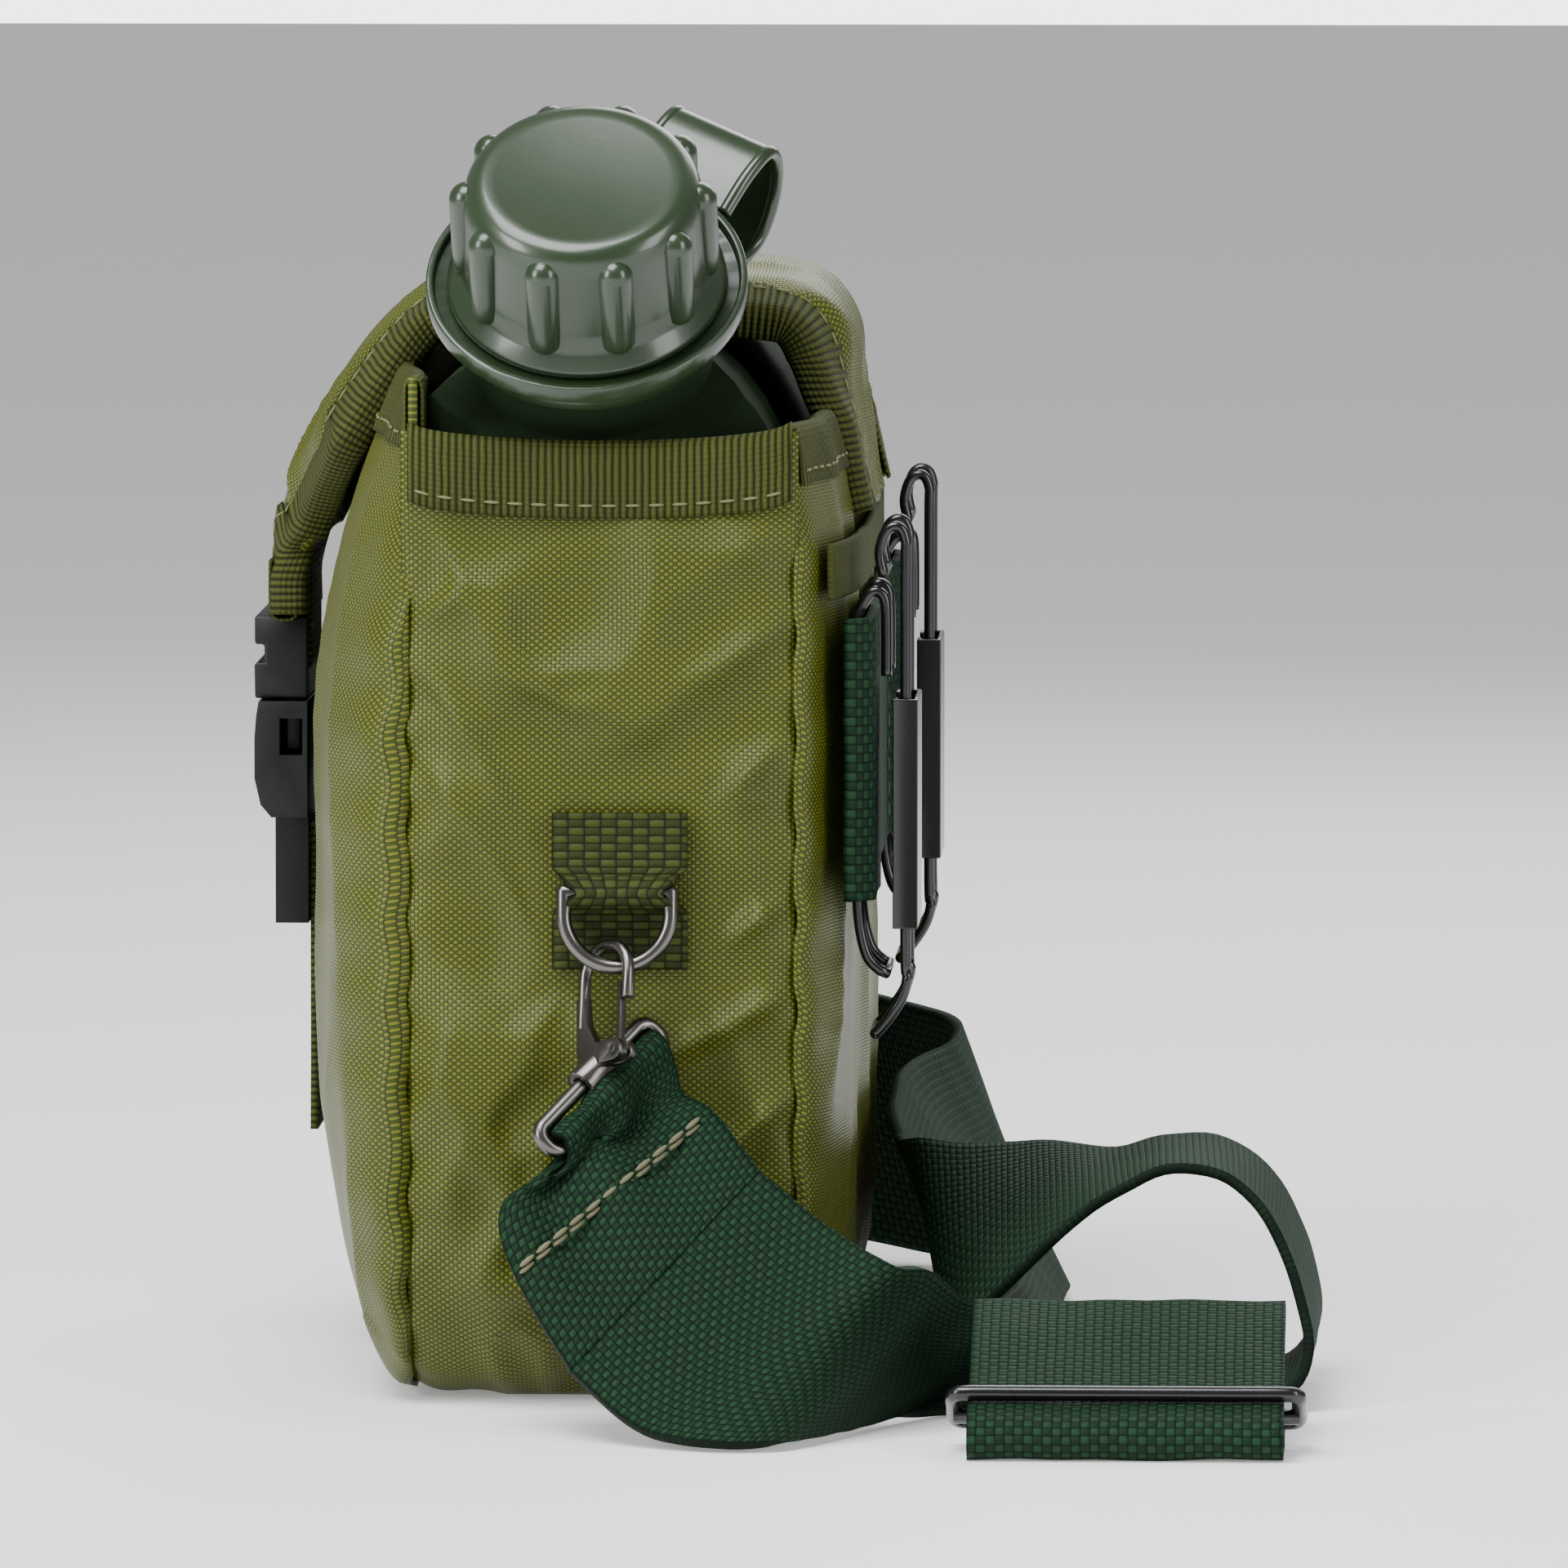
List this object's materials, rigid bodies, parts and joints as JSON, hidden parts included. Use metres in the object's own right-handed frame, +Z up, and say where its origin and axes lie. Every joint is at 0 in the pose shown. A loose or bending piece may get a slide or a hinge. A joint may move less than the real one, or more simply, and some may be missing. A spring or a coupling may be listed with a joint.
{
  "type": "canteen",
  "caption": "Flat military-style water bottle with a canted neck and screw cap, in a padded fabric cover with a buckled flap, belt clips, side D-rings and a clipped-on shoulder strap.",
  "frame": {"origin": "middle of the cover's flat base", "axes": "+Z up, the buckle faces -Y, the belt clips face +Y, the neck leans out over +X"},
  "size_m": [0.2839, 0.1776, 0.2112],
  "materials": {
    "bottle_plastic": "matt, moulded, slightly grained dark green",
    "cap_plastic": "semi-gloss moulded dark green",
    "liner_rubber": "soft black sealing disc",
    "cover_fabric": "coated woven nylon, olive green, slightly shiny",
    "binding_fabric": "ribbed olive edge tape with pale stitching",
    "webbing_fabric": "coarse woven bluish green webbing",
    "buckle_plastic": "matt black moulded plastic",
    "hook_metal": "dull gunmetal nickel plating",
    "clip_metal": "glossy black lacquered wire and plate"
  },
  "bodies": {
    "cover": {"bottle": "bottle_plastic", "retainer_neck_ring": "cap_plastic", "retainer_loop": "cap_plastic", "front_panel": "cover_fabric", "back_panel": "cover_fabric", "side_gusset": "cover_fabric", "binding_near": "binding_fabric", "binding_far": "binding_fabric", "back_seam_band": "binding_fabric", "back_band": "webbing_fabric", "front_strap": "binding_fabric", "buckle_female": "buckle_plastic", "side_tab_near": "webbing_fabric", "side_tab_far": "webbing_fabric", "clip_frame_near": "clip_metal", "clip_frame_far": "clip_metal", "shoulder_strap": "webbing_fabric", "strap_tail": "webbing_fabric"},
    "cap_retainer": {"retainer_cap_ring": "cap_plastic"},
    "cap": {"cap": "cap_plastic", "cap_liner": "liner_rubber"},
    "flap": {"flap": "cover_fabric", "flap_binding": "binding_fabric", "flap_strap": "binding_fabric", "buckle_male": "buckle_plastic"},
    "buckle_arm_near": {"buckle_arm_near": "buckle_plastic"},
    "buckle_arm_far": {"buckle_arm_far": "buckle_plastic"},
    "d_ring_near": {"d_ring_near": "hook_metal"},
    "d_ring_far": {"d_ring_far": "hook_metal"},
    "hook_near": {"hook_near": "hook_metal", "strap_ring_near": "hook_metal", "strap_near_end": "webbing_fabric"},
    "hook_far": {"hook_far": "hook_metal", "strap_ring_far": "hook_metal", "strap_far_end": "webbing_fabric"},
    "hook_gate_near": {"hook_gate_near": "hook_metal"},
    "hook_gate_far": {"hook_gate_far": "hook_metal"},
    "clip_front_near": {"clip_front_near": "clip_metal"},
    "clip_front_far": {"clip_front_far": "clip_metal"},
    "clip_keeper_near": {"clip_keeper_near": "clip_metal"},
    "clip_keeper_far": {"clip_keeper_far": "clip_metal"},
    "slide_adjuster": {"slide_adjuster": "clip_metal"}
  },
  "joints": [
    {"name": "cap_lift", "type": "slide", "parent": "cover", "child": "cap_retainer", "axis": [0.6561, 0, 0.7547], "range_m": [0, 0.0075], "deforming": ["retainer_loop"]},
    {"name": "cap_turn", "type": "hinge", "parent": "cap_retainer", "child": "cap", "pos_m": [0.08, -0.004, 0.1803], "axis": [0.6561, 0, 0.7547], "range_deg": [0, 540]},
    {"name": "flap_open", "type": "hinge", "parent": "cover", "child": "flap", "pos_m": [0, 0.0405, 0.139], "axis": [-1, 0, 0], "range_deg": [0, 120]},
    {"name": "buckle_press_near", "type": "slide", "parent": "flap", "child": "buckle_arm_near", "axis": [-1, 0, 0], "range_m": [0, 0.0024], "stiffness_N_per_m": 400},
    {"name": "buckle_press_far", "type": "slide", "parent": "flap", "child": "buckle_arm_far", "axis": [1, 0, 0], "range_m": [0, 0.0024], "stiffness_N_per_m": 400},
    {"name": "d_ring_swing_near", "type": "hinge", "parent": "cover", "child": "d_ring_near", "pos_m": [0.0976, 0.0016, 0.0845], "axis": [0, -1, 0], "range_deg": [-5, 4]},
    {"name": "hook_swing_near", "type": "hinge", "parent": "cover", "child": "hook_near", "pos_m": [0.0999, 0, 0.0728], "axis": [0, -1, 0], "range_deg": [0, 15], "deforming": ["strap_near_end"]},
    {"name": "gate_near", "type": "hinge", "parent": "hook_near", "child": "hook_gate_near", "pos_m": [0.1072, 0.00255, 0.05991], "axis": [0.6556, -0.7071, 0.2649], "range_deg": [0, 20], "stiffness_Nm_per_rad": 0.01, "springref_deg": -5.73},
    {"name": "clip_open_near", "type": "hinge", "parent": "cover", "child": "clip_front_near", "pos_m": [0.068, 0.0446, 0.1345], "axis": [1, 0, 0], "range_deg": [0, 18], "stiffness_Nm_per_rad": 0.05, "springref_deg": -11.46},
    {"name": "keeper_slide_near", "type": "slide", "parent": "clip_front_near", "child": "clip_keeper_near", "axis": [0, 0, 1], "range_m": [0, 0.007]},
    {"name": "d_ring_swing_far", "type": "hinge", "parent": "cover", "child": "d_ring_far", "pos_m": [-0.0976, 0.0016, 0.0845], "axis": [0, 1, 0], "range_deg": [-5, 4]},
    {"name": "hook_swing_far", "type": "hinge", "parent": "cover", "child": "hook_far", "pos_m": [-0.0999, 0, 0.0728], "axis": [0, 1, 0], "range_deg": [0, 15], "deforming": ["strap_far_end"]},
    {"name": "gate_far", "type": "hinge", "parent": "hook_far", "child": "hook_gate_far", "pos_m": [-0.1072, 0.00255, 0.05991], "axis": [0.6556, 0.7071, -0.2649], "range_deg": [0, 20], "stiffness_Nm_per_rad": 0.01, "springref_deg": -5.73},
    {"name": "clip_open_far", "type": "hinge", "parent": "cover", "child": "clip_front_far", "pos_m": [-0.062, 0.0446, 0.1345], "axis": [1, 0, 0], "range_deg": [0, 18], "stiffness_Nm_per_rad": 0.05, "springref_deg": -11.46},
    {"name": "keeper_slide_far", "type": "slide", "parent": "clip_front_far", "child": "clip_keeper_far", "axis": [0, 0, 1], "range_m": [0, 0.007]},
    {"name": "adjuster_slide", "type": "slide", "parent": "cover", "child": "slide_adjuster", "axis": [-0.9615, 0, 0.2747], "range_m": [0, 0.006]}
  ],
  "couplings": [
    {"joint": "cap_turn", "follows": "cap_lift", "rad_per_m": 1256.6}
  ]
}
